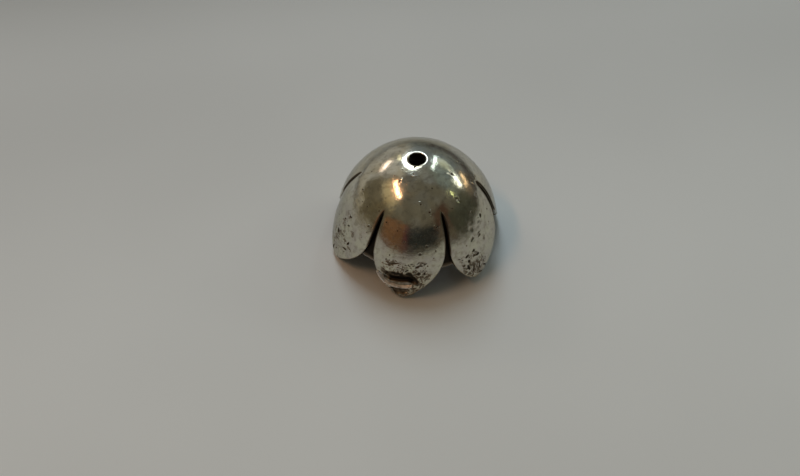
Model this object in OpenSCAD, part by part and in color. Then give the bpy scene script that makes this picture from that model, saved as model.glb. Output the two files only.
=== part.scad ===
// Bead cap: a small dome of cast silver, pierced at the crown for a thread or a head pin.
// Six slits divide it into petals, which lean out to round tips, and it stands mouth down
// on those tips. The whole cap is one casting, so it is one solid. Sizes are in millimetres.
// The Z axis runs up through the hole, and the front petal faces -Y.

/* [Crown] */
// Height from the ground under the tips to the crown
cap_h = 9.55; // [8.5:0.05:11]
// Radius at which the crown's curve would become upright
dome_r = 7.85; // [7:0.05:9]
// Depth below the crown at which it would become upright
dome_drop = 9.8; // [9:0.1:12]
// Thickness of the cast wall
wall = 0.7; // [0.5:0.05:0.9]

/* [Thread hole] */
// Radius of the hole
hole_r = 0.75; // [0.5:0.05:1]
// Width of the worn bevel round its mouth
hole_bevel = 0.18; // [0.05:0.01:0.25]

/* [Petals] */
// Angle by which the petals lean out from upright
lean = 13; // [2:1:18]
// Angle across a slit, from petal to petal
slit_angle = 3.6; // [2:0.2:6]
// Power that keeps a petal wide towards its tip
fullness = 2.6; // [2:0.1:4]
// How far a petal's edges turn in towards the bead
cup = 0.33; // [0:0.01:0.6]

/* [Casting flaws] */
// Height of the gouge across the front petal
gouge_z = 2.25; // [1.8:0.05:3]
// Angle from the front at which it is deepest
gouge_angle = -10; // [-14:1:2]
// Radius of its hollow
gouge_r = 0.5; // [0.3:0.05:0.6]
// How far it sinks into the wall
gouge_depth = 0.3; // [0.1:0.05:0.35]
// Height of the pit under the gouge
pit_z = 1.05; // [0.9:0.05:1.3]
// Radius of the pit
pit_r = 0.4; // [0.2:0.05:0.45]

/* [Hidden] */
$fn = 64;

// One row for each petal, from the front one round towards +X.
// SLIT is the depth below the crown at which the slit after the petal starts, TURN is the
// angle by which its tip leans round the axis, SHORT is how much it stops above the
// longest tips, and POINT is the power that narrows its tip.
SLIT = 0;
TURN = 1;
SHORT = 2;
POINT = 3;
PETALS = [
    [2.20,  -4.6, 0.00, 0.80],
    [2.45, -13.0, 0.45, 0.70],
    [2.35,   0.0, 0.00, 0.70],
    [2.35,   0.0, 0.00, 0.70],
    [2.25,   0.0, 0.00, 0.70],
    [2.40,  -3.0, 0.10, 0.70]
];
petal_count = len(PETALS);
half_pitch = 180 / petal_count;

// The wall leans, so its inner edge touches the ground and the outer tips stay just above it.
tip_depth = cap_h - wall * sin(lean);
// Part of a petal's length over which its slit opens to the full angle
slit_run = 0.05;
// Part of a petal's length by which its edges are fully turned in
cup_run = 0.5;
cup_growth = 1.2;
turn_growth = 1.5;
// How far the rows of points crowd towards the crown and towards the tips
crown_crowding = 1.6;
tip_crowding = 1.6;

// Facets: columns across a petal, rows down the crown, and rows down a petal
columns = 10;
crown_rows = 8;
petal_rows = 18;
ring = petal_count * columns;

// The crown's curve is a quarter ellipse. It stops where it leans as much as the petals,
// which carry on straight from there.
lean_slope = tan(lean);
join_slope = lean_slope * dome_drop / dome_r;
join_sine = join_slope / sqrt(1 + join_slope * join_slope);
join_depth = dome_drop * (1 - join_sine);
join_r = dome_r * sqrt(1 - join_sine * join_sine);

// Radius of the outer skin at a depth below the crown
function skin_r(depth) =
    depth < join_depth
        ? dome_r * sqrt(1 - pow(1 - depth / dome_drop, 2))
        : join_r + (depth - join_depth) * lean_slope;

// Angle of the skin's outward normal above the level
function skin_tilt(depth) =
    depth < join_depth
        ? atan2(pow(dome_r, 2) * (dome_drop - depth), pow(dome_drop, 2) * skin_r(depth))
        : lean;

// Half of the angle that a petal spans, at a part u of the way from its slits to its tip
function half_span(u, point) =
    (half_pitch - slit_angle / 2 * (1 - exp(-u / slit_run))) * pow(1 - pow(u, fullness), point);

// A point of the skin that lies inset mm inside the outer one
function skin_point(depth, angle, turned_in, inset) =
    let (
        tilt = skin_tilt(depth),
        r = skin_r(depth) - turned_in - inset * cos(tilt)
    )
    [r * sin(angle), -r * cos(angle), cap_h - depth - inset * sin(tilt)];

// Depth at which a petal leaves the crown, level with the slit on each side of it
function slit_depth(k, across) =
    let (
        before = PETALS[(k + petal_count - 1) % petal_count][SLIT],
        after = PETALS[k % petal_count][SLIT]
    )
    before + (after - before) * across;

function crown_point(i, column, inset) =
    let (
        k = floor(column / columns),
        across = column / columns - k,
        depth = slit_depth(k, across) * pow(i / crown_rows, crown_crowding)
    )
    skin_point(depth, (2 * across - 1 + 2 * k) * half_pitch, 0, inset);

function petal_point(k, j, column, inset) =
    let (
        row = PETALS[k],
        across = column / columns,
        u = 1 - pow(1 - j / petal_rows, tip_crowding),
        start = slit_depth(k, across),
        depth = start + u * (tip_depth - row[SHORT] - start),
        swing = (2 * across - 1) * half_span(u, row[POINT]),
        turned_in = cup * pow(min(u / cup_run, 1), cup_growth) * pow(swing / half_pitch, 2)
    )
    skin_point(depth, 2 * k * half_pitch + row[TURN] * pow(u, turn_growth) + swing, turned_in, inset);

// All the points of one skin: the crown, its rows, the petals' rows and the tips
function skin_points(inset) = concat(
    [[0, 0, cap_h - inset]],
    [for (i = [1:crown_rows]) for (column = [0:ring - 1]) crown_point(i, column, inset)],
    [for (j = [1:petal_rows - 1]) for (k = [0:petal_count - 1]) for (column = [0:columns])
        petal_point(k, j, column, inset)],
    [for (k = [0:petal_count - 1]) petal_point(k, petal_rows, 0, inset)]
);

// Places of those points in the list
petals_from = 1 + crown_rows * ring;
tips_from = petals_from + (petal_rows - 1) * petal_count * (columns + 1);
skin_size = tips_from + petal_count;

function crown_at(i, column) = i == 0 ? 0 : 1 + (i - 1) * ring + column % ring;

function petal_at(k, j, column) =
    j == 0 ? crown_at(crown_rows, k * columns + column) :
    j == petal_rows ? tips_from + k :
    petals_from + ((j - 1) * petal_count + k) * (columns + 1) + column;

// Two triangles between four points, or one where two of the four are the same
function patch(a, b, c, d) =
    a == b ? [[a, c, d]] :
    c == d ? [[a, b, c]] :
    [[a, b, c], [a, c, d]];

function skin_faces() = concat(
    [for (i = [1:crown_rows]) for (column = [0:ring - 1])
        each patch(crown_at(i - 1, column), crown_at(i - 1, column + 1),
                   crown_at(i, column + 1), crown_at(i, column))],
    [for (k = [0:petal_count - 1]) for (j = [1:petal_rows]) for (column = [0:columns - 1])
        each patch(petal_at(k, j - 1, column), petal_at(k, j - 1, column + 1),
                   petal_at(k, j, column + 1), petal_at(k, j, column))]
);

function inner(at) = at + skin_size;

function rim_faces() = concat(
    [for (k = [0:petal_count - 1]) for (j = [1:petal_rows])
        each patch(petal_at(k, j - 1, columns), inner(petal_at(k, j - 1, columns)),
                   inner(petal_at(k, j, columns)), petal_at(k, j, columns))],
    [for (k = [0:petal_count - 1]) for (j = [1:petal_rows])
        each patch(inner(petal_at(k, j - 1, 0)), petal_at(k, j - 1, 0),
                   petal_at(k, j, 0), inner(petal_at(k, j, 0)))]
);

// The dome and its petals: an outer and an inner skin, joined along the petals' edges
module cast_wall() {
    polyhedron(
        points = concat(skin_points(0), skin_points(wall)),
        faces = concat(
            skin_faces(),
            [for (f = skin_faces()) [inner(f[2]), inner(f[1]), inner(f[0])]],
            rim_faces()
        )
    );
}

// The hole down the axis, with a bevel at its mouth
module thread_hole() {
    mouth_z = cap_h - dome_drop * (1 - sqrt(1 - pow((hole_r + hole_bevel) / dome_r, 2)));
    over = 0.5;
    translate([0, 0, cap_h - 2 * wall])
        cylinder(r = hole_r, h = 2 * wall + over);
    translate([0, 0, mouth_z - hole_bevel])
        cylinder(r1 = hole_r, r2 = hole_r + hole_bevel + over, h = hole_bevel + over);
}

// Moves its children out to the skin at a height and an angle from the front, so that a
// tool of radius r sinks into the wall by depth
module on_skin(z, angle, r, depth) {
    rotate([0, 0, angle])
        translate([0, -skin_r(cap_h - z) - r + depth, z])
            children();
}

// Where the metal didn't fill the front petal near its tip: a gouge that runs out at both
// ends, and a pit below it, with a lip left between the two
module casting_flaws() {
    gouge_slope = 4;
    on_skin(gouge_z, gouge_angle, gouge_r, gouge_depth)
        rotate([0, 90 + gouge_slope, 0])
            cylinder(r = gouge_r, h = dome_r, center = true);
    on_skin(pit_z, gouge_angle, pit_r, pit_r / 2)
        sphere(r = pit_r);
}

module bead_cap() {
    color([0.62, 0.6, 0.54])
        difference() {
            cast_wall();
            thread_hole();
            casting_flaws();
        }
}

bead_cap();
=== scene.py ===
# %% [markdown]
# # A cast silver bead cap
# A bead cap is the small cup that sits on the end of a bead. This one is a single casting: a
# dome with a hole for the thread, cut by six slits into petals that stand on their tips. It
# was dipped in a black patina and polished again, so the open metal shines and the pits, the
# slits and the hollow stayed dark. The solid model is loaded first, and gives the frame that
# the dressed cap has to fit.

# %% Load the solid cap
import math
from collections import namedtuple

import bmesh
import bpy
from mathutils import Matrix, Vector, noise


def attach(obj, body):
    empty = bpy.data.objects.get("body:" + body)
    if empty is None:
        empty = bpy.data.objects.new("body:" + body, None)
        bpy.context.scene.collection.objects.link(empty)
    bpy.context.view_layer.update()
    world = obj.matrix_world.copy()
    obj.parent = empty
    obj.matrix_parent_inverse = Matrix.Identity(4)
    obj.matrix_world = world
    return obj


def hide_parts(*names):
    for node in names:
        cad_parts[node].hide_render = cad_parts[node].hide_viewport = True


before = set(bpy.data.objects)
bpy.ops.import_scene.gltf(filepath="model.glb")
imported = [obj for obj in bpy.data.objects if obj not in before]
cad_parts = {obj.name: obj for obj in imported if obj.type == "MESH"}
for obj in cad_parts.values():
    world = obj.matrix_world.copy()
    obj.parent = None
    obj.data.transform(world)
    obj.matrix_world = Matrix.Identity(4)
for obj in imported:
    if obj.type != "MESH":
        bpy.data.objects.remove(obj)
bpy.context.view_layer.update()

MM = 0.001
print("nodes:", list(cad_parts))

# %% [markdown]
# ## The camera
# The photograph looks down on the cap from 49 degrees, a little from the right. A cap of
# 16 mm fills a fifth of the picture from 110 mm away, so the lens is a longish one. The
# camera is aimed at a point of the table with `to_track_quat`, which keeps it level.

# %% Camera
CAMERA_AT = Vector((5.005, -71.685, 81.429)) * MM
CAMERA_AIM = Vector((-1.42, -0.954, 0.0)) * MM
LENS = 52.87

scene = bpy.context.scene
camera = bpy.data.objects.new("camera", bpy.data.cameras.new("camera"))
scene.collection.objects.link(camera)
camera.data.lens = LENS
camera.data.sensor_width = 36.0
camera.data.sensor_fit = "HORIZONTAL"
camera.data.clip_start = 1 * MM
camera.data.clip_end = 10.0
camera.location = CAMERA_AT
camera.rotation_euler = (CAMERA_AIM - CAMERA_AT).to_track_quat("-Z", "Y").to_euler()
scene.camera = camera
scene.view_settings.view_transform = "Standard"
print("camera", round((CAMERA_AIM - CAMERA_AT).length / MM), "mm from the cap")

# %% [markdown]
# ## Small helpers for materials
# A material is a tree of nodes, and so is the world. Written out, a node takes several lines,
# to make it, to set it and to link it. A few helpers do that here, so that the trees below
# can be read like formulas. The last one turns two angles into a direction.

# %% Helpers for the shader trees
def new_tree(owner):
    """Empties the node tree of a material or world and returns it with its output node"""
    owner.use_nodes = True
    tree = owner.node_tree
    tree.nodes.clear()
    kind = "ShaderNodeOutputWorld" if isinstance(owner, bpy.types.World) else "ShaderNodeOutputMaterial"
    return tree, tree.nodes.new(kind)


def add(tree, kind, links=None, values=None, **settings):
    """Adds a node, sets its settings and its inputs' values, and links its inputs"""
    node = tree.nodes.new(kind)
    for name, value in settings.items():
        setattr(node, name, value)
    for name, value in (values or {}).items():
        node.inputs[name].default_value = value
    for name, socket in (links or {}).items():
        tree.links.new(socket, node.inputs[name])
    return node


def ramp(tree, value, low, high, to_low=0.0, to_high=1.0):
    """A smooth step of a value from one range to another"""
    ends = {"From Min": low, "From Max": high, "To Min": to_low, "To Max": to_high}
    node = add(tree, "ShaderNodeMapRange", {"Value": value}, ends, interpolation_type="SMOOTHSTEP")
    return node.outputs["Result"]


def maths(tree, operation, first, second=None):
    """A Math node of one or two values, each a socket or a plain number"""
    node = add(tree, "ShaderNodeMath", operation=operation)
    for number, value in enumerate((first, second)):
        if isinstance(value, (int, float)):
            node.inputs[number].default_value = value
        elif value:
            tree.links.new(value, node.inputs[number])
    return node.outputs["Value"]


def noise_field(tree, place, scale, detail):
    """Noise from 0 to 1 with so many lumps to the unit of place"""
    values = {"Scale": scale, "Detail": detail}
    return add(tree, "ShaderNodeTexNoise", {"Vector": place}, values).outputs["Fac"]


def mix(tree, share, first, second):
    """Mixes two colours, each a socket or a plain RGB, by a share between 0 and 1"""
    node = add(tree, "ShaderNodeMix", {"Factor": share}, data_type="RGBA")
    for name, colour in (("A", first), ("B", second)):
        socket = next(s for s in node.inputs if s.name == name and s.type == "RGBA")
        if isinstance(colour, tuple):
            socket.default_value = (*colour, 1.0)
        else:
            tree.links.new(colour, socket)
    return next(s for s in node.outputs if s.type == "RGBA")


def direction(azimuth, elevation):
    """Unit vector towards a point of the room, with azimuth 0 in front and 90 on the right"""
    level = math.cos(math.radians(elevation))
    turn = math.radians(azimuth)
    return Vector((level * math.sin(turn), -level * math.cos(turn), math.sin(math.radians(elevation))))


# %% [markdown]
# ## The room
# Polished metal has hardly a colour of its own: it shows what stands round it. So the room
# matters as much as the metal. It is dim and olive, with a few soft-edged panels for the
# walls and the furniture. The ray's direction is turned into an azimuth, which is 0 in front
# and 90 on the right, and an elevation, and a panel covers a range of each. A soft noise makes
# it all a little patchy, because a real room is full of small things.

# %% Room
ROOM_OVERHEAD = (0.103, 0.098, 0.078)
ROOM_LEVEL = (0.085, 0.068, 0.046)

# Azimuth and elevation of the middle, width, height, softness of the edges, colour
PANELS = {
    "back wall": (180, 20, 90, 70, 20, (0.115, 0.130, 0.130)),
    "pale wall, left": (-140, 30, 56, 74, 14, (0.280, 0.270, 0.235)),
    "pale wall, right": (126, 44, 56, 34, 18, (0.135, 0.162, 0.150)),
    "skirting at the back": (140, 3, 76, 10, 9, (0.062, 0.056, 0.050)),
    "glow under the strip": (-76, 48, 58, 18, 18, (0.400, 0.325, 0.175)),
    "pale ceiling at the back": (165, 73, 140, 15, 12, (0.155, 0.165, 0.160)),
    "halo of the strip": (-74, 59.5, 34, 8, 5, (0.900, 0.450, 0.160)),
    "olive wall, left": (-86, 21, 58, 36, 7, (0.100, 0.085, 0.053)),
    "pale sill, left": (-92, 0, 72, 8, 4, (0.270, 0.250, 0.200)),
    "pale corner, left": (-110, 6, 36, 12, 6, (0.270, 0.250, 0.200)),
    "brown cupboard": (-33, 13, 38, 36, 5, (0.140, 0.073, 0.036)),
    "red edge": (-11, 16, 9, 26, 4, (0.080, 0.028, 0.030)),
    "black screen": (16, 15, 50, 24, 4, (0.019, 0.021, 0.019)),
    "brown board": (52, 31, 34, 28, 7, (0.056, 0.034, 0.023)),
    "olive wall, right": (84, 16, 54, 32, 7, (0.045, 0.046, 0.032)),
}

# How far the small things in the room make it darker or lighter, and how many there are
CLUTTER = (0.78, 1.22)
CLUTTER_SCALE = 4.0

world = bpy.data.worlds.new("room")
scene.world = world
tree, output = new_tree(world)


def within(value, middle, width, softness):
    """1 where an angle in degrees is within a width round the middle, 0 outside it"""
    turned = maths(tree, "SUBTRACT", value, middle)
    if width < 180:
        turned = maths(tree, "FLOORED_MODULO", maths(tree, "ADD", turned, 180.0), 360.0)
        turned = maths(tree, "SUBTRACT", turned, 180.0)
    away = maths(tree, "ABSOLUTE", turned)
    return ramp(tree, away, (width + softness) / 2, max(width - softness, 0.0) / 2)


ray = add(tree, "ShaderNodeTexCoord").outputs["Generated"]
axes = add(tree, "ShaderNodeSeparateXYZ", {"Vector": ray}).outputs
forwards = maths(tree, "MULTIPLY", axes["Y"], -1.0)
azimuth = maths(tree, "DEGREES", maths(tree, "ARCTAN2", axes["X"], forwards))
elevation = maths(tree, "DEGREES", maths(tree, "ARCSINE", axes["Z"]))
clutter = noise_field(tree, ray, CLUTTER_SCALE, 3.0)
colour = mix(tree, ramp(tree, elevation, 5.0, 45.0), ROOM_LEVEL, ROOM_OVERHEAD)
for middle, height, width, tall, softness, tint in PANELS.values():
    beside = within(azimuth, middle, width, softness)
    level = within(elevation, height, tall, softness)
    colour = mix(tree, maths(tree, "MULTIPLY", beside, level), colour, tint)
strength = ramp(tree, clutter, 0.30, 0.70, *CLUTTER)
background = add(tree, "ShaderNodeBackground", {"Color": colour, "Strength": strength})
tree.links.new(background.outputs["Background"], output.inputs["Surface"])
print("room with", len(PANELS), "panels")

# %% [markdown]
# ## The lamps
# Every bright mark on the dome is a lamp seen in it. A lamp is an ellipse that faces the cap,
# so it takes two angles for its place, two for its size and one for its roll. Its power
# follows from how bright its face should look, because a face of area A that glows with
# radiance L gives off pi x A x L watts.

# %% Lamps
LAMP_DISTANCE = 300 * MM
LAMP_AIM = Vector((0, 0, 6)) * MM

# Azimuth, elevation, long side, short side and roll in degrees, then radiance and colour
LAMPS = {
    "warm_strip": (-74, 59.5, 28, 3.8, 0, 11.5, (1.00, 0.56, 0.33)),
    "white_left": (-132, 30.0, 18, 6, 2, 2.6, (1.00, 0.80, 0.68)),
    "yellow_left": (-150, 36.0, 13, 4, -70, 1.2, (1.00, 0.95, 0.60)),
    "cool_near": (154, 43.0, 30, 2.2, 66, 6.0, (0.76, 0.96, 1.00)),
    "cool_outer": (120, 28.5, 19, 9, -12, 2.3, (0.93, 1.00, 0.92)),
    "green_band": (144, 33.0, 26, 12, -10, 0.33, (0.90, 1.00, 0.80)),
    "warm_outer": (125, 17.0, 17, 3.5, 0, 2.0, (1.00, 0.72, 0.42)),
    "small_yellow": (93, 38.5, 3, 3, 0, 5.5, (0.90, 1.00, 0.45)),
    "overhead": (-165, 50.5, 36, 20, -83, 5.6, (0.78, 0.92, 1.00)),
}


def hang_lamp(name, azimuth, elevation, long_side, short_side, roll, radiance, tint):
    """Hangs an elliptic lamp on a sphere round the cap, its long side rolled up from level"""
    data = bpy.data.lights.new(name, "AREA")
    data.shape = "ELLIPSE"
    data.size = 2 * LAMP_DISTANCE * math.tan(math.radians(long_side / 2))
    data.size_y = 2 * LAMP_DISTANCE * math.tan(math.radians(short_side / 2))
    data.energy = math.pi * (math.pi / 4 * data.size * data.size_y) * radiance
    data.color = tint
    lamp = bpy.data.objects.new(name, data)
    scene.collection.objects.link(lamp)
    towards = direction(azimuth, elevation)
    level = towards.cross(Vector((0, 0, 1))).normalized()
    upright = towards.cross(level)
    if upright.z < 0:
        upright.negate()
    turn = math.radians(roll)
    along = level * math.cos(turn) + upright * math.sin(turn)
    lamp.matrix_world = Matrix.Translation(LAMP_AIM + towards * LAMP_DISTANCE) @ Matrix(
        (along, towards.cross(along), towards)).transposed().to_4x4()
    lamp.visible_camera = False


for name, facts in LAMPS.items():
    hang_lamp(name, *facts)
print("hung", len(LAMPS), "lamps")

# %% [markdown]
# ## The table
# The cap stands on a sheet of plain pale paper. Paper has almost no gloss and a very fine
# tooth, so a rough surface with a faint noise in its colour and bump is enough. The sheet is
# large, because the polished petals mirror it right up to the horizon. Its colour is darkened
# towards the back and far away, as painted shade for where less of the light falls.

# %% Table
TABLE_SIZE = 900 * MM
PAPER_NEAR = (0.870, 0.895, 0.900)
# The back colour and the far colour are painted shade; the far one also tints the faint clouds
PAPER_BACK_SHADE = (0.675, 0.688, 0.688)
PAPER_CLOUD_AND_SHADE = (0.150, 0.142, 0.125)
CLOUDINESS = 0.06
NEAR_TO_BACK = (-22 * MM, 28 * MM)
LIT_AROUND = (48 * MM, 220 * MM)
LIT_BACK = (26 * MM, 60 * MM)
LOST_AT_BACK = 0.6
AWAY_FROM_LIGHT = (-0.25, 1.0, 0.0)

sheet = bmesh.new()
bmesh.ops.create_grid(sheet, x_segments=8, y_segments=8, size=TABLE_SIZE / 2)
table = bpy.data.objects.new("table", bpy.data.meshes.new("table"))
sheet.to_mesh(table.data)
sheet.free()
scene.collection.objects.link(table)

paper = bpy.data.materials.new("paper")
tree, output = new_tree(paper)
place = add(tree, "ShaderNodeTexCoord").outputs["Object"]
tooth = noise_field(tree, place, 900.0, 4.0)
clouds = noise_field(tree, place, 25.0, 2.0)
bump = add(tree, "ShaderNodeBump", {"Height": tooth}, {"Strength": 0.3, "Distance": 0.02 * MM})
slant = add(tree, "ShaderNodeVectorMath", {0: place}, {1: AWAY_FROM_LIGHT}, operation="DOT_PRODUCT")
backwards = slant.outputs["Value"]
outwards = add(tree, "ShaderNodeVectorMath", {0: place}, operation="LENGTH").outputs["Value"]
# Painted shade: the paper's colour darkens towards the back and far from the cap
tone = mix(tree, ramp(tree, backwards, *NEAR_TO_BACK), PAPER_NEAR, PAPER_BACK_SHADE)
tone = mix(tree, ramp(tree, clouds, 0.3, 0.7, 0.0, CLOUDINESS), tone, PAPER_CLOUD_AND_SHADE)
tone = mix(tree, ramp(tree, outwards, *LIT_AROUND), tone, PAPER_CLOUD_AND_SHADE)
tone = mix(tree, ramp(tree, backwards, *LIT_BACK, 0.0, LOST_AT_BACK), tone, PAPER_CLOUD_AND_SHADE)
shader = add(tree, "ShaderNodeBsdfPrincipled",
             {"Base Color": tone, "Normal": bump.outputs["Normal"]}, {"Roughness": 0.9})
tree.links.new(shader.outputs["BSDF"], output.inputs["Surface"])
table.data.materials.append(paper)
print("table", TABLE_SIZE, "m across")

# %% [markdown]
# ## The skin of the cap
# The cap's outer skin is a surface turned about the thread hole. Its profile is a quarter of
# an ellipse, and where that leans out by 13 degrees the petals carry straight on. So one
# function of the depth below the crown gives the radius, and a point of the skin needs only
# a depth and an angle. The angle is 0 at the front petal and grows towards the right.

# %% Sizes of the cap, in millimetres and degrees
CAP_HEIGHT = 9.55
DOME_RADIUS = 7.85
DOME_DROP = 9.8
WALL = 0.7
LEAN = math.radians(13)
HOLE_RADIUS = 0.75
HOLE_BEVEL = 0.13

SLIT_ANGLE = 3.0
SLIT_RUN = 0.05
FULLNESS = 3.4
CUP_RUN = 0.5
CUP_GROWTH = 1.2
TURN_GROWTH = 1.5

# The petals from the front one round to the right. slit is the depth at which the slit after
# the petal starts, turn is the angle by which its tip leans round the axis, and short is how
# much it stops above the longest tips. The others come in pairs for the petal's left and right
# side: point narrows it towards the tip, cup turns its edge in towards the bead, and swell
# makes it bulge by so many degrees halfway down. pinch turns the tip in.
Petal = namedtuple("Petal", "slit turn short pinch point cup swell")
PETALS = (
    Petal(2.20, -4.6, 0.00, 0.00, (1.00, 1.00), (0.33, 0.33), (1.0, 1.2)),
    Petal(2.45, -13.0, 0.42, 0.00, (0.98, 0.80), (0.33, 0.02), (-0.4, 0.0)),
    Petal(2.35, -6.0, 0.00, 0.25, (0.87, 0.87), (0.40, 0.33), (-3.0, 0.0)),
    Petal(2.35, 0.0, 0.00, 0.00, (0.87, 0.87), (0.33, 0.33), (0.0, 0.0)),
    Petal(2.25, 0.0, 0.00, 0.00, (0.87, 0.87), (0.33, 0.33), (0.0, -3.0)),
    Petal(2.40, -3.0, 0.10, 0.00, (0.87, 0.94), (0.33, 0.33), (3.4, 0.0)),
)
HALF_PITCH = 180 / len(PETALS)

join_slope = math.tan(LEAN) * DOME_DROP / DOME_RADIUS
join_sine = join_slope / math.hypot(1, join_slope)
JOIN_DEPTH = DOME_DROP * (1 - join_sine)
JOIN_RADIUS = DOME_RADIUS * math.sqrt(1 - join_sine ** 2)

# The tips are made this much longer, because the smoothing of the mesh pulls them in again
ROUNDING_LOSS = 0.055
TIP_DEPTH = CAP_HEIGHT - WALL * math.sin(LEAN) + ROUNDING_LOSS


def skin_radius(depth):
    """Radius of the outer skin at a depth below the crown"""
    if depth < JOIN_DEPTH:
        return DOME_RADIUS * math.sqrt(1 - (1 - depth / DOME_DROP) ** 2)
    return JOIN_RADIUS + (depth - JOIN_DEPTH) * math.tan(LEAN)


print("the dome runs into the petals", round(JOIN_DEPTH, 2), "mm below the crown")

# %% [markdown]
# ## Six sheets of squares
# Each petal starts as a flat grid from `create_grid`, and each of the grid's points is then
# wrapped onto the skin. The grid's top edge becomes a sixth of the hole's rim and its lower
# edge runs round the petal's tip, so the squares stay nearly square everywhere and none of
# them is squeezed into the tip. Where the slit starts, the rows stand closer together. A
# number on each point, from 0 in the middle of a petal to 1 at its edges, is kept for later.

# %% Wrap the sheets
COLUMNS = 9
CROWN_ROWS = 6
PETAL_ROWS = 14
ROW_GROWTH = 1.4

# The grid's lower corners lie on the petal's outline, this share of the way to its tip
CORNER = 0.8
CORNER_PULL = 8


def outline(down, point):
    """Half of the angle that a petal spans, a share down of the way from its slits to its tip"""
    opening = SLIT_ANGLE / 2 * (1 - math.exp(-down / SLIT_RUN))
    return (HALF_PITCH - opening) * (1 - down ** FULLNESS) ** point


def wrap(number, across, row):
    """Where a corner of a petal's grid goes: across runs from 0 to 1, rows count from the hole"""
    petal = PETALS[number]
    start = PETALS[number - 1].slit + (petal.slit - PETALS[number - 1].slit) * across
    side = 2 * across - 1
    point, cup, swell = (pair[side > 0] for pair in (petal.point, petal.cup, petal.swell))
    angle = 2 * number * HALF_PITCH
    if row <= CROWN_ROWS:
        first = math.asin(HOLE_RADIUS / DOME_RADIUS)
        last = math.acos(1 - start / DOME_DROP)
        depth = DOME_DROP * (1 - math.cos(first + (last - first) * row / CROWN_ROWS))
        angle += side * HALF_PITCH
        turned_in = 0.0
    else:
        share = ((row - CROWN_ROWS) / PETAL_ROWS) ** ROW_GROWTH
        corner = abs(side) * outline(CORNER, point) / outline(0.0, point)
        lowest = (1 - corner ** (1 / point)) ** (1 / FULLNESS)
        lowest = min(lowest, lowest + (CORNER - lowest) * abs(side) ** CORNER_PULL)
        down = share * lowest
        depth = start + down * (TIP_DEPTH - petal.short - start)
        swing = side * outline(share * CORNER, point)
        angle += petal.turn * down ** TURN_GROWTH + swing + side * swell * math.sin(math.pi * down)
        turned_in = cup * min(down / CUP_RUN, 1) ** CUP_GROWTH * (swing / HALF_PITCH) ** 2
        turned_in += petal.pinch * down ** 2
    radius = skin_radius(depth) - turned_in
    turn = math.radians(angle)
    return Vector((radius * math.sin(turn), -radius * math.cos(turn), CAP_HEIGHT - depth)) * MM


cap_mesh = bmesh.new()
cap_mesh.verts.layers.float.new("wall_depth")
beside_slit = cap_mesh.verts.layers.float.new("beside_slit")
rows = CROWN_ROWS + PETAL_ROWS
for number in range(len(PETALS)):
    grid = bmesh.ops.create_grid(cap_mesh, x_segments=COLUMNS, y_segments=rows, size=0.5)
    for vert in grid["verts"]:
        across = vert.co.x + 0.5
        row = round((0.5 - vert.co.y) * rows)
        vert[beside_slit] = abs(2 * across - 1) if row >= CROWN_ROWS else 0.0
        vert.co = wrap(number, across, row)
print("six sheets:", len(cap_mesh.faces), "squares")

# %% [markdown]
# ## One skin with six slits, and a wall
# Down to the slits, neighbouring sheets share their edge points, so merging doubles joins
# them into one skin. The wrapping may have turned the squares inside out, and `solidify`
# gives the wall its thickness along the normals, so the normals are put right before it.
# A number on each point, 0 on the outer skin and 1 on the inner, tells the two apart later.

# %% Join and thicken
bmesh.ops.remove_doubles(cap_mesh, verts=cap_mesh.verts, dist=1e-3 * MM)
bmesh.ops.recalc_face_normals(cap_mesh, faces=cap_mesh.faces)
if sum(face.normal.z for face in cap_mesh.faces) < 0:
    bmesh.ops.reverse_faces(cap_mesh, faces=cap_mesh.faces)
outer_points = set(cap_mesh.verts)
bmesh.ops.solidify(cap_mesh, geom=list(cap_mesh.faces), thickness=WALL * MM)
wall_depth = cap_mesh.verts.layers.float["wall_depth"]
for vert in cap_mesh.verts:
    vert[wall_depth] = 0.0 if vert in outer_points else 1.0
open_edges = sum(edge.is_boundary for edge in cap_mesh.edges)
print("one wall of", len(cap_mesh.faces), "squares, open edges:", open_edges)

# %% [markdown]
# ## The bore and the rounded rims
# The wall stands square to the dome, so at first the hole is a slight cone. Its points are
# pushed out to the bore's radius. Then the rims are rounded with `bevel`, as casting and
# polishing leave them: a wide worn bevel at the mouth of the hole and a narrower one all
# round the petals. A rim is an edge between a strip of wall and one of the two skins.

# %% Bore and rims
RIM_OUTSIDE = 0.13
RIM_INSIDE = 0.08
RIM_SEGMENTS = 2


def from_axis(co):
    """Distance of a place from the axis of the thread hole"""
    return math.hypot(co.x, co.y)


for vert in cap_mesh.verts:
    if from_axis(vert.co) < 1.2 * HOLE_RADIUS * MM:
        stretch = HOLE_RADIUS * MM / from_axis(vert.co)
        vert.co.x *= stretch
        vert.co.y *= stretch


def rims(inside, at_hole):
    """The edges of one skin where it meets the wall, round the hole or round the petals"""
    found = []
    for edge in cap_mesh.edges:
        depths = [vert[wall_depth] for vert in edge.verts]
        sides = [len({round(vert[wall_depth]) for vert in face.verts}) for face in edge.link_faces]
        hole = all(from_axis(vert.co) < 1.1 * HOLE_RADIUS * MM for vert in edge.verts)
        if depths == [inside, inside] and sorted(sides) == [1, 2] and hole == at_hole:
            found.append(edge)
    return found


# Whether the rim is on the inner skin, whether it is the hole's, and the width of its bevel
RIMS = ((0, True, HOLE_BEVEL), (0, False, RIM_OUTSIDE), (1, True, RIM_INSIDE), (1, False, RIM_INSIDE))
for inside, at_hole, width in RIMS:
    edges = rims(inside, at_hole)
    bmesh.ops.bevel(cap_mesh, geom=edges, offset=width * MM, offset_type="OFFSET", affect="EDGES",
                    segments=RIM_SEGMENTS, profile=0.5, material=-1, clamp_overlap=False)
    print("rounded", len(edges), "rim edges by", width, "mm")

# %% [markdown]
# ## A chart of the pits
# The largest pits are charted one by one, the way a caster would describe them: so many
# degrees round from the front and so many millimetres above the table. Then come the length
# and width of a short stroke, the degrees by which it leans from the upright, and its depth.
# Each gets a little frame of its own on the skin, with one direction along the stroke and one
# across. First come the specks on the dome, and then the larger pits on the petals.

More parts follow.
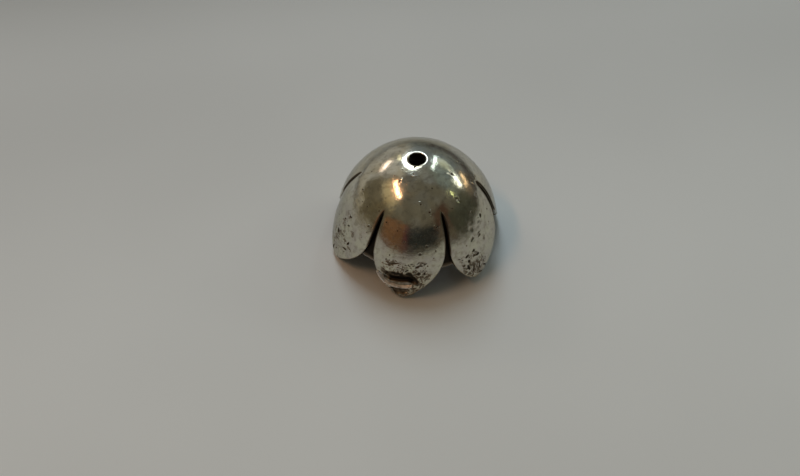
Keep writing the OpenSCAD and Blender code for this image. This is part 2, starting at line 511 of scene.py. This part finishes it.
# %% Chart of pits
Pit = namedtuple("Pit", "angle height length width lean depth")
PITS = [Pit(*facts) for facts in (
    (75, 8.7, 0.24, 0.20, 20, 0.09), (84, 7.5, 0.18, 0.16, 0, 0.03), (76, 6.9, 0.20, 0.16, 60, 0.03),
    (105, 8.5, 0.18, 0.15, 0, 0.03), (97, 7.2, 0.18, 0.14, 40, 0.03), (-66, 7.3, 0.18, 0.14, 0, 0.03),
    (-38, 5.8, 0.22, 0.16, 30, 0.03), (7, 4.7, 0.22, 0.19, 0, 0.02), (9, 8.1, 0.18, 0.16, 0, 0.02),
    (-8, 9.47, 0.22, 0.18, 0, 0.04), (-6, 9.3, 0.18, 0.16, 0, 0.02), (-29, 9.0, 0.18, 0.15, 0, 0.02),
    (53, 7.7, 0.19, 0.15, 50, 0.02), (12, 5.3, 0.21, 0.18, 0, 0.02), (59, 6.4, 0.19, 0.15, 70, 0.03),
    (-59, 5.2, 0.20, 0.16, 0, 0.03), (22, 6.6, 0.22, 0.18, 30, 0.02), (18, 7.6, 0.19, 0.16, 0, 0.02),
    (66, 5.6, 0.34, 0.20, 30, 0.11), (77, 5.3, 0.14, 0.12, 0, 0.06), (57, 4.4, 0.26, 0.14, 70, 0.08),
    (51, 2.9, 0.36, 0.18, 80, 0.10), (48, 3.5, 0.32, 0.15, 60, 0.08), (42, 3.3, 0.40, 0.14, 60, 0.08),
    (43, 2.7, 0.32, 0.24, 0, 0.12), (42, 2.1, 0.56, 0.22, -15, 0.12), (46, 1.7, 0.60, 0.17, 15, 0.12),
    (51, 1.7, 0.60, 0.15, 5, 0.11), (55, 1.8, 0.22, 0.15, 0, 0.09), (56, 1.2, 0.66, 0.14, -50, 0.10),
    (51, 0.9, 0.66, 0.14, -75, 0.10), (-58, 5.2, 0.36, 0.14, 60, 0.06), (-63, 4.6, 0.28, 0.13, 50, 0.06),
    (-56, 4.5, 0.30, 0.14, 70, 0.07), (-66, 2.9, 0.52, 0.34, 0, 0.07), (-51, 3.0, 0.44, 0.18, 30, 0.08),
    (-53, 2.2, 0.52, 0.18, 80, 0.08), (-67, 0.8, 0.40, 0.20, 10, 0.08), (-11, 3.6, 1.30, 0.10, 68, 0.06),
    (5, 3.5, 0.38, 0.16, 60, 0.08), (6, 2.8, 0.36, 0.20, 80, 0.09), (10, 2.8, 0.32, 0.16, 20, 0.08),
    (-2, 3.1, 0.34, 0.13, 50, 0.08),
)]


def step(value, low, high):
    """0 at low, 1 at high and smooth between; low may be the larger number"""
    share = min(max((value - low) / (high - low), 0.0), 1.0)
    return share * share * (3 - 2 * share)


def skin_point(angle, height):
    """The point of the skin at an angle and a height, in millimetres"""
    radius = skin_radius(CAP_HEIGHT - height)
    turn = math.radians(angle)
    return Vector((radius * math.sin(turn), -radius * math.cos(turn), height))


def pit_frame(pit):
    """The middle of a pit and the two directions along and across it"""
    middle = skin_point(pit.angle, pit.height)
    up = (middle - skin_point(pit.angle, pit.height - 0.02)).normalized()
    turn = math.radians(pit.angle)
    level = Vector((math.cos(turn), math.sin(turn), 0))
    lean = math.radians(pit.lean)
    along = up * math.cos(lean) + level * math.sin(lean)
    across = level * math.cos(lean) - up * math.sin(lean)
    return middle, along / (pit.length / 2), across / (pit.width / 2), pit.length, pit.depth


PIT_FRAMES = [pit_frame(pit) for pit in PITS]


def charted_pits(co):
    """Depth of the charted pits at a place"""
    depth = 0.0
    place = co / MM
    for middle, along, across, reach, deepest in PIT_FRAMES:
        away = place - middle
        if away.length < reach + 0.4:
            depth = max(depth, deepest * step(math.hypot(away.dot(along), away.dot(across)), 1.3, 0.4))
    return depth


print("charted", len(PITS), "pits")

# %% [markdown]
# ## A finer skin
# One round of Subdivision Surface smooths the cage. After it only the outer skin is cut
# finer, in three steps, and each step takes a smaller zone: first the petals and the mouth
# of the hole, then the parts with many pits, and last the ends of the three front petals. The
# places round the charted pits are in all three. So the points are dense where the casting is
# bad, and the inside stays light. `smooth=1.0` lets the new points follow the curve.

# %% Subdivide
SPECK_REACH = 0.28


def smoothed(mesh):
    """Applies one level of Subdivision Surface to a bmesh"""
    data = bpy.data.meshes.new("cage")
    mesh.to_mesh(data)
    mesh.free()
    cage = bpy.data.objects.new("cage", data)
    scene.collection.objects.link(cage)
    modifier = cage.modifiers.new("smooth", "SUBSURF")
    modifier.levels = modifier.render_levels = 1
    bpy.context.view_layer.update()
    result = bmesh.new()
    result.from_mesh(cage.evaluated_get(bpy.context.evaluated_depsgraph_get()).to_mesh())
    bpy.data.objects.remove(cage)
    bpy.data.meshes.remove(data)
    return result


def angle_of(co):
    """Degrees from the front petal towards the right"""
    return math.degrees(math.atan2(co.x, -co.y))


def by_a_speck(co):
    """Whether a place is beside one of the charted pits"""
    return any((co / MM - pit[0]).length < SPECK_REACH for pit in PIT_FRAMES)


def petals_and_mouth(co):
    """The petals and the skin round the mouth of the hole"""
    return co.z < 6.2 * MM or from_axis(co) < 2.0 * MM or by_a_speck(co)


def pitted_parts(co):
    """The lower part of the petals, where most pits are, and the mouth of the hole"""
    below = 4.9 if abs(angle_of(co)) < 86 else 1.6
    return co.z < below * MM or from_axis(co) < 1.6 * MM or by_a_speck(co)


def front_tips(co):
    """The ends of the three petals that face the camera"""
    below = 3.9 if abs(angle_of(co)) < 30 else 3.3
    return co.z < below * MM and abs(angle_of(co)) < 72 or by_a_speck(co)


cap_mesh = smoothed(cap_mesh)
wall_depth = cap_mesh.verts.layers.float["wall_depth"]
for zone in (petals_and_mouth, pitted_parts, front_tips):
    cap_mesh.normal_update()
    chosen = [face for face in cap_mesh.faces
              if max(vert[wall_depth] for vert in face.verts) < 0.35 and zone(face.calc_center_median())]
    edges = list(dict.fromkeys(edge for face in chosen for edge in face.edges))
    bmesh.ops.subdivide_edges(cap_mesh, edges=edges, cuts=1, use_grid_fill=True, smooth=1.0)
    print("cut", zone.__name__, "to", len(cap_mesh.faces), "faces")

# %% [markdown]
# ## Noise and drawn lines
# Two small helpers place the other flaws. One is soft noise whose lumps have a chosen size.
# The other measures how far a place is above or below a drawn line, for flaws that are longer
# than they are wide.

# %% Helpers for flaws
def rough(co, size, seed=0.0):
    """Smooth noise from -1 to 1 whose lumps are size millimetres across"""
    return noise.noise(co / (size * MM) + Vector((seed, -seed, 2 * seed)))


def above_line(line, side, height):
    """Signed distance from a drawn line, above it if positive, for a place (side, height)"""
    best = 99.0
    for (side_a, height_a), (side_b, height_b) in zip(line, line[1:]):
        run, rise = side_b - side_a, height_b - height_a
        along = ((side - side_a) * run + (height - height_a) * rise) / (run * run + rise * rise)
        along = min(max(along, 0.0), 1.0)
        gap_side, gap_height = side - side_a - along * run, height - height_a - along * rise
        gap = math.hypot(gap_side, gap_height)
        if gap < abs(best):
            best = math.copysign(gap, run * gap_height - rise * gap_side)
    return best


# %% [markdown]
# ## The torn front tip
# The metal didn't fill the front petal. Its skin slopes into a gouge with a ragged upper
# edge. Below the deepest line the gouge ends in a steep side, then comes a narrow ledge, a
# thin curved lip that stands proud, and a hollow under the lip. Each is a function of the
# distance from a line drawn with a few points, where the first number is millimetres to the
# right of the petal's middle and the second is the height. The polishing wheel never reached
# the gouge, so it is black at its bottom, smoky up its slope and rusty brown on the ledge,
# while the lip is rubbed bare. The hollow under the lip is darkened as a painted shadow.

# %% Front tip
GOUGE_LINE = ((-3.1, 2.30), (-2.3, 1.98), (-1.7, 1.86), (-0.8, 1.94), (-0.1, 2.02), (0.55, 1.80))
LIP_LINE = ((-2.85, 2.12), (-2.64, 1.88), (-2.25, 1.54), (-1.67, 1.38), (-0.8, 1.32), (-0.25, 1.35),
            (0.24, 1.46))
HOLLOW_LINE = ((-1.55, 0.84), (-0.95, 0.78), (-0.25, 0.90))
GOUGE_DEPTH = 0.38
GOUGE_SLOPE = 0.95
LEDGE_DEPTH = 0.15
LIP_RISE = 0.12
LIP_HALF_WIDTH = 0.14
HOLLOW_DEPTH = 0.20


def front_tip(co, side, height):
    """How far the front tip's skin sinks, how black it is with the painted shadow under the lip, and how
    worn
    """
    ragged = rough(co, 0.50, 3.0) + 0.5 * rough(co, 0.20, 5.0)
    gap = above_line(GOUGE_LINE, side, height)
    full = step(side, 1.1, 0.1)
    up = min(max(gap / (GOUGE_SLOPE * (0.45 + 0.55 * full) + 0.25 * ragged), 0.0), 1.0)
    slope = (1 - up) ** 1.3 * step(gap, -0.20, -0.02) * full
    at_edge = step(side, -2.9, -2.2)
    lip_gap = above_line(LIP_LINE, side, height)
    ledge = step(gap, 0.0, -0.20) * step(lip_gap, 0.0, 0.14) * step(side, 0.45, 0.20)
    half_width = LIP_HALF_WIDTH * (1 + 0.6 * step(side, -1.6, -2.6))
    lip = max(1 - (lip_gap / half_width) ** 2, 0.0) * step(side, 0.27, 0.20)
    below_lip = above_line(HOLLOW_LINE, side, height)
    hollow = step(abs(below_lip) + 0.08 * ragged, 0.36, 0.10)
    sink = (GOUGE_DEPTH * slope + LEDGE_DEPTH * ledge) * at_edge - LIP_RISE * lip + HOLLOW_DEPTH * hollow
    core = step(gap + 0.12 * ragged, 0.60, 0.28) * step(gap, -0.24, -0.12) * step(side, 0.75, 0.25)
    core *= step(side, -2.3, -1.7)
    smoky = min(step(slope, 0.01, 0.20) * (0.80 + 0.50 * ragged), 0.92)
    smoky *= step(side, -2.9, -2.3) * (1 - step(gap, 0.30, 0.05) * step(side, -1.7, -2.2))
    rust = ledge * step(side, -2.2, -1.6) * (0.42 + 0.30 * ragged)
    # Painted shadow in the hollow under the lip
    painted_shade = step(abs(below_lip) + 0.16 * ragged, 0.50, 0.16) * step(side + 0.4 * ragged, 0.8, -0.3)
    painted_shade *= (0.62 + 0.35 * rough(co, 0.30, 4.0)) * step(side, -2.3, -1.7)
    black = max(core, smoky, rust, painted_shade)
    worn = step(lip, 0.10, 0.60)
    return sink, black * (1 - worn), worn


print("the torn tip's gouge is", GOUGE_DEPTH, "mm deep in a wall of", WALL, "mm")

# %% [markdown]
# ## Porous patches
# The smaller pits come from noise: a pit is where a band of one noise crosses the high parts
# of a second one, which gives short curly marks. A chart of porous patches says where there
# are many of them: near the tips, where the metal ran last and coldest.

# %% Porous patches
Porous = namedtuple("Porous", "angle height half_width half_height share")
POROUS = [Porous(*facts) for facts in (
    (-6, 3.2, 22, 0.9, 1.0), (6, 2.9, 12, 1.2, 1.0), (6, 2.0, 6, 0.8, 1.2), (-4, 0.5, 14, 0.8, 1.0),
    (5, 1.1, 9, 0.9, 0.9), (43, 2.9, 10, 1.1, 1.1), (48, 1.8, 12, 1.2, 1.1), (58, 4.6, 12, 1.9, 0.6),
    (-60, 3.0, 17, 3.0, 0.75), (-66, 2.4, 9, 2.8, 0.8), (-56, 6.2, 14, 1.6, 0.35),
    (118, 1.8, 17, 2.0, 0.8), (182, 1.9, 17, 2.1, 0.8), (-118, 2.0, 17, 2.2, 0.8),
)]
CURL_SIZE = 0.36
CURL_DEPTH = 0.05
LUMP_DEPTH = 0.02


def round_trip(angle):
    """Brings an angle between -180 and 180 degrees"""
    return (angle + 180) % 360 - 180


def porosity(co, angle, height):
    """How porous the casting is at a place, from 0 to 1"""
    share = 0.0
    for patch in POROUS:
        across = round_trip(angle - patch.angle) / patch.half_width
        up = (height - patch.height) / patch.half_height
        share = max(share, patch.share * step(math.hypot(across, up), 1.15, 0.45))
    return min(share * (0.85 + 0.35 * rough(co, 1.4, 11.0)), 1.0)


def curls(co, share):
    """Short curly pits, more of them where share is higher"""
    bend = rough(co, CURL_SIZE, 7.0) + 0.3 * rough(co, 0.15, 8.0)
    gate = rough(co, 0.70, 9.0) + 0.3 * rough(co, 0.25, 10.0)
    bar = 0.50 - 0.75 * share
    large = step(abs(bend), 0.34, 0.08) * step(gate, bar, bar + 0.25)
    small = step(abs(rough(co, 0.22, 17.0)), 0.30, 0.05) * step(rough(co, 0.5, 19.0), bar, bar + 0.25)
    return max(large, 0.6 * small) * step(share, 0.02, 0.35)


print("porous patches:", len(POROUS))

# %% [markdown]
# ## A web behind the slits
# The slits look black right through, and in the two gaps beside the front petal a faint line
# crosses 2.7 mm above the table. So the slits seem to stop short of the bead: a thin web
# closes them from inside, and ends in an edge at that height. Its section is a closed loop
# with one side sunk into the wall, and `spin` turns it about the axis. Two layers of numbers
# for the shader are made here too, because the web's edge is a little worn.

# %% Web
WEB_TOP = 7.7
WEB_EDGE = 2.75
WEB_ROWS = 10
WEB_STEPS = 60
WEB_SUNK = 0.06
WEB_PROUD = 0.14
WEB_SHINE = 0.75


def under_skin(height, inset):
    """A point in the YZ plane that lies inset mm inside the outer skin"""
    depth = CAP_HEIGHT - height
    slope = (skin_radius(depth + 0.01) - skin_radius(depth - 0.01)) / 0.02
    reach = inset / math.hypot(1, slope)
    return Vector((0, reach - skin_radius(depth), height - slope * reach)) * MM


web = bmesh.new()
heights = [WEB_TOP + (WEB_EDGE - WEB_TOP) * row / WEB_ROWS for row in range(WEB_ROWS + 1)]
loop = [web.verts.new(under_skin(height, WALL - WEB_SUNK)) for height in heights]
loop += [web.verts.new(under_skin(height, WALL + WEB_PROUD)) for height in reversed(heights)]
sides = [web.edges.new(pair) for pair in zip(loop, loop[1:] + loop[:1])]
bmesh.ops.spin(web, geom=loop + sides, axis=(0, 0, 1), cent=(0, 0, 0), angle=2 * math.pi,
               steps=WEB_STEPS, use_merge=True)
bmesh.ops.remove_doubles(web, verts=web.verts, dist=1e-3 * MM)
bmesh.ops.recalc_face_normals(web, faces=web.faces)
web_data = bpy.data.meshes.new("web")
web.to_mesh(web_data)
web.free()

skin_size = len(cap_mesh.verts)
cap_mesh.from_mesh(web_data)
bpy.data.meshes.remove(web_data)
LAYERS = ("tarnish_and_shade", "pores", "worn")
for name in LAYERS:
    cap_mesh.verts.layers.float.new(name)
wall_depth = cap_mesh.verts.layers.float["wall_depth"]
worn = cap_mesh.verts.layers.float["worn"]
edge_radius = from_axis(under_skin(WEB_EDGE, WALL - WEB_SUNK))
cap_mesh.verts.ensure_lookup_table()
web_points = cap_mesh.verts[skin_size:]
for vert in web_points:
    vert[wall_depth] = 1.0
    if vert.co.z < (WEB_EDGE - 0.1) * MM and abs(from_axis(vert.co) - edge_radius) < 0.01 * MM:
        vert[worn] = WEB_SHINE
print("web of", len(web_points), "points,", sum(vert[worn] > 0 for vert in web_points), "on its edge")

# %% [markdown]
# ## Carving
# Each point of the outer skin is pushed in along its normal by the depth of the flaws there.
# Beside the hole the skin is also dished on one side, since the thread wore it down there.
# The same loop writes down three numbers for the shader: how tarnished the metal is, with
# painted shade in the same number, how porous it is, and how worn. The tarnish is full on the
# slits' walls and inside the cap, and nearly so in the pits, where no polishing wheel reaches.
# The skin beside the slits is darkened too. Painted shade darkens the mouth of the hole and
# the hollow under the front tip's lip. The wear is high on the lip and on the rims of the tips.

# %% Carve the flaws
DISH_RADIUS = 1.20
DISH_DEPTH = 0.055
DISH_SIDE = -38

# How black the pits and the skin beside a slit are, and how worn the rims of the tips
PIT_BLACK = 0.8
SLIT_BLACK = 0.9
RIM_WORN = 0.7

# How black the curls are, and how dark the painted shade round the mouth of the hole is,
# each as a base and what comes on top
CURL_BLACK = (0.34, 0.30)
MOUTH_SHADE = (0.30, 0.28)


def dish(radius, angle):
    """How far the skin is worn down beside the hole"""
    out = (radius - HOLE_RADIUS) / (DISH_RADIUS - HOLE_RADIUS)
    towards_side = step(math.cos(math.radians(angle - DISH_SIDE)), 0.3, 0.9)
    return DISH_DEPTH * towards_side * (1 - min(max(out, 0.0), 1.0)) ** 2.5


tarnish_and_shade, pores, worn, wall_depth, beside_slit = (
    cap_mesh.verts.layers.float[name] for name in (*LAYERS, "wall_depth", "beside_slit"))
cap_mesh.normal_update()
moves = []
for vert in cap_mesh.verts:
    co = vert.co.copy()
    inward = vert[wall_depth]
    angle = angle_of(co)
    height = co.z / MM
    radius = from_axis(co) / MM
    at_tips = step(height, 3.5, 1.5)
    outside = step(inward, 0.16 + 0.30 * at_tips, 0.02 + 0.10 * at_tips)
    if radius < DISH_RADIUS:
        outside = step(inward, 0.20, 0.06)
    share = porosity(co, angle, height)
    curl = curls(co, share)
    depth = charted_pits(co)
    black = PIT_BLACK * step(depth, 0.002, 0.018)
    depth = max(depth, CURL_DEPTH * curl)
    black = max(black, (CURL_BLACK[0] + CURL_BLACK[1] * share) * curl)
    # The skin beside the slits is darkened; between 60 and 125 degrees the band is wider and lower down
    slit_darkening = step(vert[beside_slit], 0.95, 0.99) * step(height, 3.4, 4.6)
    if 60 < angle < 125:
        slit_darkening = step(vert[beside_slit], 0.92, 0.98) * step(height, 2.2, 3.2)
    black = max(black, SLIT_BLACK * slit_darkening)
    bare = RIM_WORN * step(inward, 0.01, 0.08) * step(inward, 0.35, 0.20) * at_tips
    # Painted shade round the mouth of the hole, darker on the dished side
    if radius < DISH_RADIUS:
        in_dish = step(math.cos(math.radians(angle - DISH_SIDE)), 0.0, 0.75)
        painted_shade = MOUTH_SHADE[0] + MOUTH_SHADE[1] * in_dish
        black = max(black, painted_shade * step(radius, 1.02, 0.92))
    if abs(angle) < 30 and height < 3.9:
        # The tip's darkness includes the painted shadow under the lip
        torn, tip_dark_and_shade, ridge = front_tip(co, radius * math.radians(angle), height)
        depth = depth * (1 - step(abs(torn), 0.02, 0.10)) + torn
        black = max(black * (1 - ridge), tip_dark_and_shade)
        bare = max(bare, ridge)
    depth += LUMP_DEPTH * share * rough(co, 0.45, 31.0)
    vert[pores] = share * outside
    vert[worn] = max(vert[worn], bare)
    vert[tarnish_and_shade] = max(black * outside, 1 - outside) * (1 - vert[worn])
    sunk = vert.normal * (-depth * step(inward, 0.5, 0.1) * MM)
    sunk.z -= dish(radius, angle) * (1 - inward) * MM
    moves.append((vert, sunk))
for vert, move in moves:
    vert.co += move
print("carved:", sum(move.length > 0.01 * MM for vert, move in moves), "of", len(moves), "points moved")

# %% [markdown]
# ## From bmesh to object
# The finished bmesh is written into a mesh, and the mesh goes into an object that stays at the
# origin. Every face is shaded smooth. No edge has to be marked sharp, because the rims are
# rounded by real faces.

# %% Cap object
for face in cap_mesh.faces:
    face.smooth = True
cap = bpy.data.objects.new("cap", bpy.data.meshes.new("cap"))
cap_mesh.to_mesh(cap.data)
cap_mesh.free()
scene.collection.objects.link(cap)
print("cap:", len(cap.data.polygons), "faces")

# %% [markdown]
# ## Antiqued silver
# The metal is one Principled shader. Where the tarnish, which also carries painted shade, is low
# the silver is warm, bright and rather smooth. As it rises the metal turns a brown stain and then
# a rough black patina. A fine mottling of weak tarnish covers it all. The petals' metal is darker
# than the dome's, as painted shade. Soft dents, finer ripples and a grain give the uneven polish
# of a part tumbled in a barrel, and a Voronoi texture scatters the pinholes that are too small to
# carve. A thin rough coat stands for the haze that handling leaves on silver: it puts a faint
# glow round the reflections of the lamps.

# %% Silver
SILVER = (0.82, 0.79, 0.69)
SILVER_WARM = (0.79, 0.72, 0.55)
# The petals' metal, darker than the dome's silver: painted shade
PETAL_SHADE = (0.575, 0.555, 0.435)
PETAL_SHADE_LILAC = (0.52, 0.485, 0.415)
WORN = (0.95, 0.92, 0.89)
STAIN = (0.210, 0.165, 0.115)
PATINA = (0.030, 0.024, 0.019)

# Roughness of the clean metal, and what the tarnish, the wear and the petals add to it
POLISH = (0.10, 0.18)
TARNISHED = 0.35
RUBBED = 0.46
ROUGHER_PETALS = 0.06
HAZE = 0.6
HAZE_ROUGHNESS = 0.27
MOTTLE = (0.22, 0.27)

silver = bpy.data.materials.new("antiqued_silver")
tree, output = new_tree(silver)
place = add(tree, "ShaderNodeTexCoord").outputs["Object"]
height = add(tree, "ShaderNodeSeparateXYZ", {"Vector": place}).outputs["Z"]
# This number carries the tarnish and the painted shade of the hole's mouth and the lip's hollow
tarnish_and_shade = add(tree, "ShaderNodeAttribute", attribute_name="tarnish_and_shade").outputs["Fac"]
pores = add(tree, "ShaderNodeAttribute", attribute_name="pores").outputs["Fac"]
worn = add(tree, "ShaderNodeAttribute", attribute_name="worn").outputs["Fac"]


def cloud(size, detail=2.0):
    """Noise from 0 to 1 whose lumps are size millimetres across"""
    return noise_field(tree, place, 1 / (size * MM), detail)


def times(first, second):
    """The product of two values"""
    return maths(tree, "MULTIPLY", first, second)


def larger(first, second):
    """The larger of two values"""
    return maths(tree, "MAXIMUM", first, second)


dents = cloud(1.3)
ripple = cloud(0.45, 3.0)
grain = cloud(0.12, 3.0)
specks = add(tree, "ShaderNodeTexVoronoi", {"Vector": place}, {"Scale": 1 / (0.55 * MM), "Randomness": 1.0})
lottery = add(tree, "ShaderNodeSeparateColor", {"Color": specks.outputs["Color"]}).outputs["Red"]
chosen = ramp(tree, lottery, 0.35, 0.75)
pinhole = times(ramp(tree, specks.outputs["Distance"], 0.19, 0.07), chosen)
speckle = times(ramp(tree, cloud(0.16), 0.54, 0.68), times(pores, 0.55))
low = ramp(tree, height, 7.6 * MM, 4.8 * MM)
mottle = times(ramp(tree, cloud(0.40, 5.0), 0.42, 0.68), ramp(tree, low, 0.0, 1.0, *MOTTLE))
dark = larger(larger(speckle, times(pinhole, 0.75)), larger(tarnish_and_shade, mottle))

bright = mix(tree, ramp(tree, cloud(1.8), 0.35, 0.65), SILVER, SILVER_WARM)
# The petals' darker metal is painted shade
petal_shade = mix(tree, ramp(tree, cloud(1.1), 0.35, 0.65), PETAL_SHADE, PETAL_SHADE_LILAC)
metal = mix(tree, worn, mix(tree, low, bright, petal_shade), WORN)
stained = mix(tree, ramp(tree, dark, 0.0, 0.6), metal, STAIN)
normal = None
for lumps, distance in ((dents, 0.026), (ripple, 0.007), (grain, 0.0028)):
    bump = add(tree, "ShaderNodeBump", {"Height": lumps}, {"Strength": 1.0, "Distance": distance * MM})
    if normal:
        tree.links.new(normal, bump.inputs["Normal"])
    normal = bump.outputs["Normal"]
bump = add(tree, "ShaderNodeBump", {"Height": pinhole, "Normal": normal},
           {"Strength": 1.0, "Distance": 0.003 * MM}, invert=True)
polish = ramp(tree, ripple, 0.3, 0.7, *POLISH)
for more in (ramp(tree, dark, 0.1, 0.9, 0.0, TARNISHED), times(worn, RUBBED), times(low, ROUGHER_PETALS)):
    polish = maths(tree, "ADD", polish, more)
shader = add(tree, "ShaderNodeBsdfPrincipled",
             {"Base Color": mix(tree, ramp(tree, dark, 0.45, 1.0), stained, PATINA),
              "Roughness": polish,
              "Coat Weight": ramp(tree, dark, 0.3, 0.8, HAZE, 0.0),
              "Normal": bump.outputs["Normal"]},
             {"Metallic": 1.0, "Specular Tint": (0.62, 0.62, 0.60, 1.0),
              "Coat Roughness": HAZE_ROUGHNESS})
tree.links.new(shader.outputs["BSDF"], output.inputs["Surface"])
cap.data.materials.append(silver)
print("silver of", len(tree.nodes), "nodes")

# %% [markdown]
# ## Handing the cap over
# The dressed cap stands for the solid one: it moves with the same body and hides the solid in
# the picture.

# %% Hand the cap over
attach(cap, "root")
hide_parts("bead_cap")
